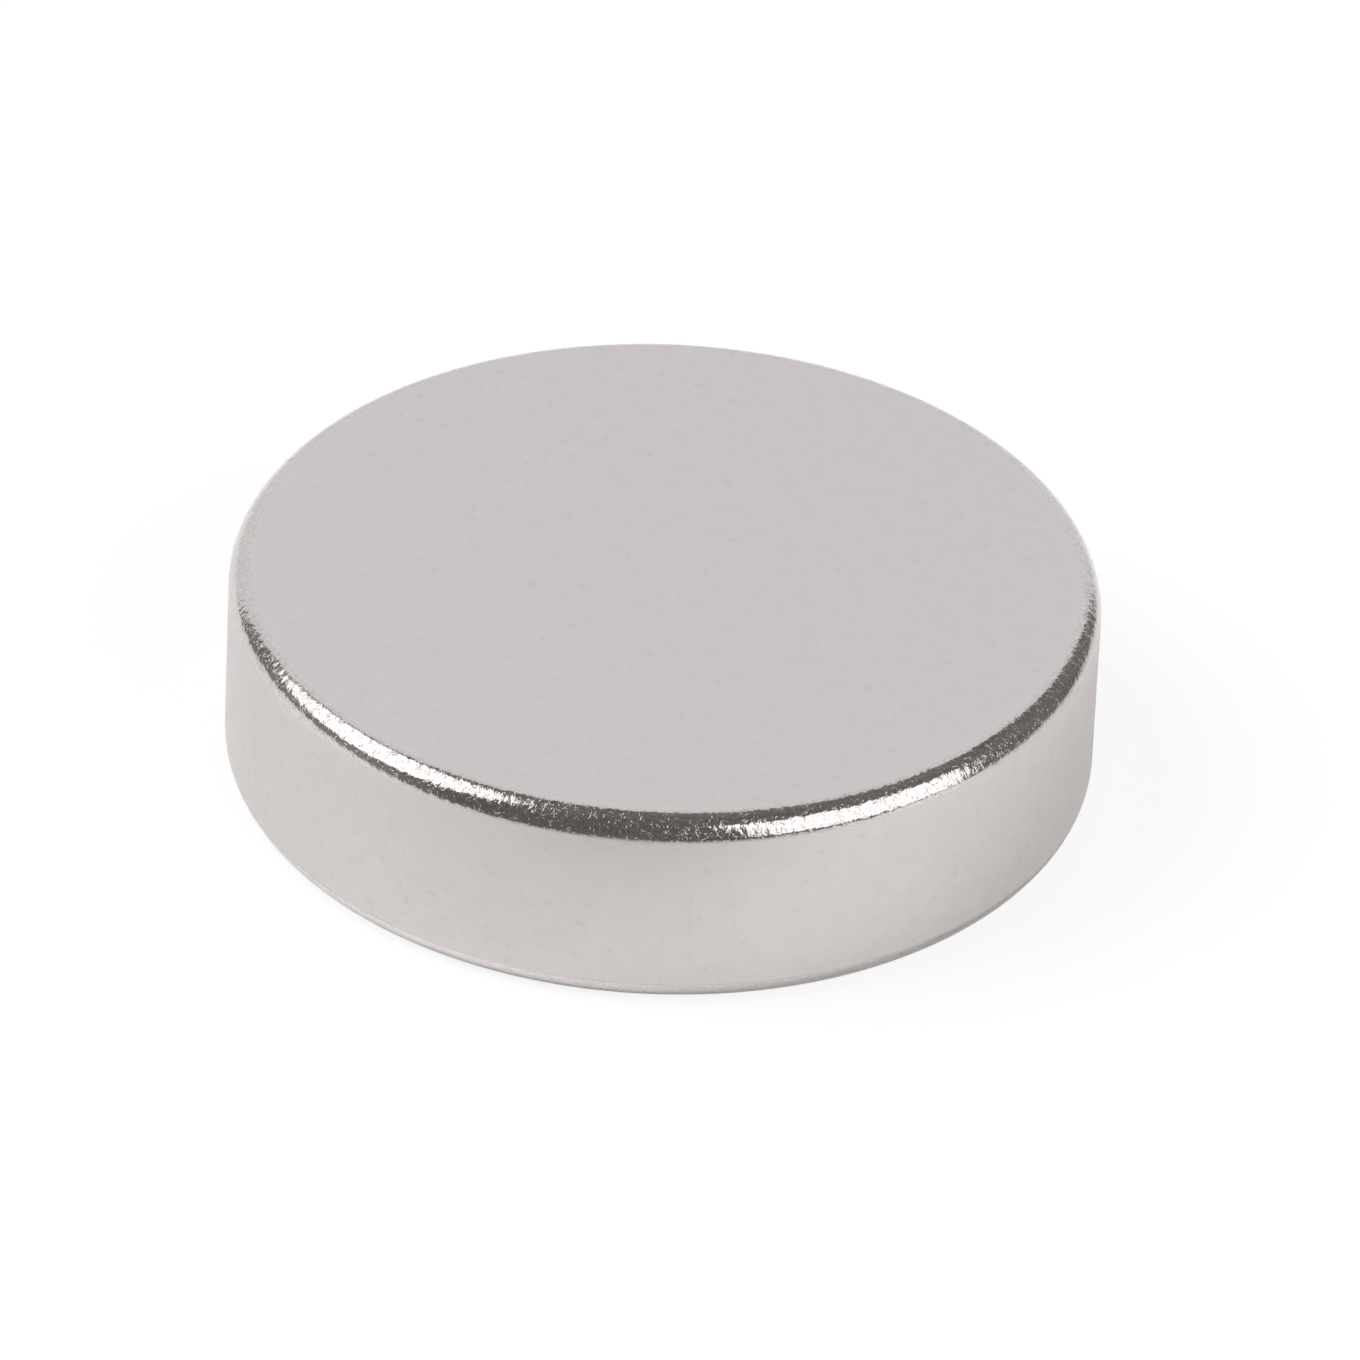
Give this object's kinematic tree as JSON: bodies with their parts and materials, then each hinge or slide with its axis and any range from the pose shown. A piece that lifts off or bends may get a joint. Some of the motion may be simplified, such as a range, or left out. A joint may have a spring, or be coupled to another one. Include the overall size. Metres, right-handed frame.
{
  "type": "disc magnet",
  "caption": "Round flat disc magnet with a bright nickel plate and rounded rims; either flat pole face holds to steel, and the wall drops into a round pocket.",
  "frame": {"origin": "centre of the lower pole face, on the surface the disc lies on", "axes": "+Z along the disc's axis, from the lower pole face to the upper one; X and Y lie in the lower face"},
  "size_m": [0.02, 0.02, 0.005],
  "materials": {
    "nickel_plate": "bright nickel plate with satin pole faces and fine-grained tumbled rims"
  },
  "bodies": {
    "root": {"disc_magnet": "nickel_plate"}
  },
  "joints": []
}
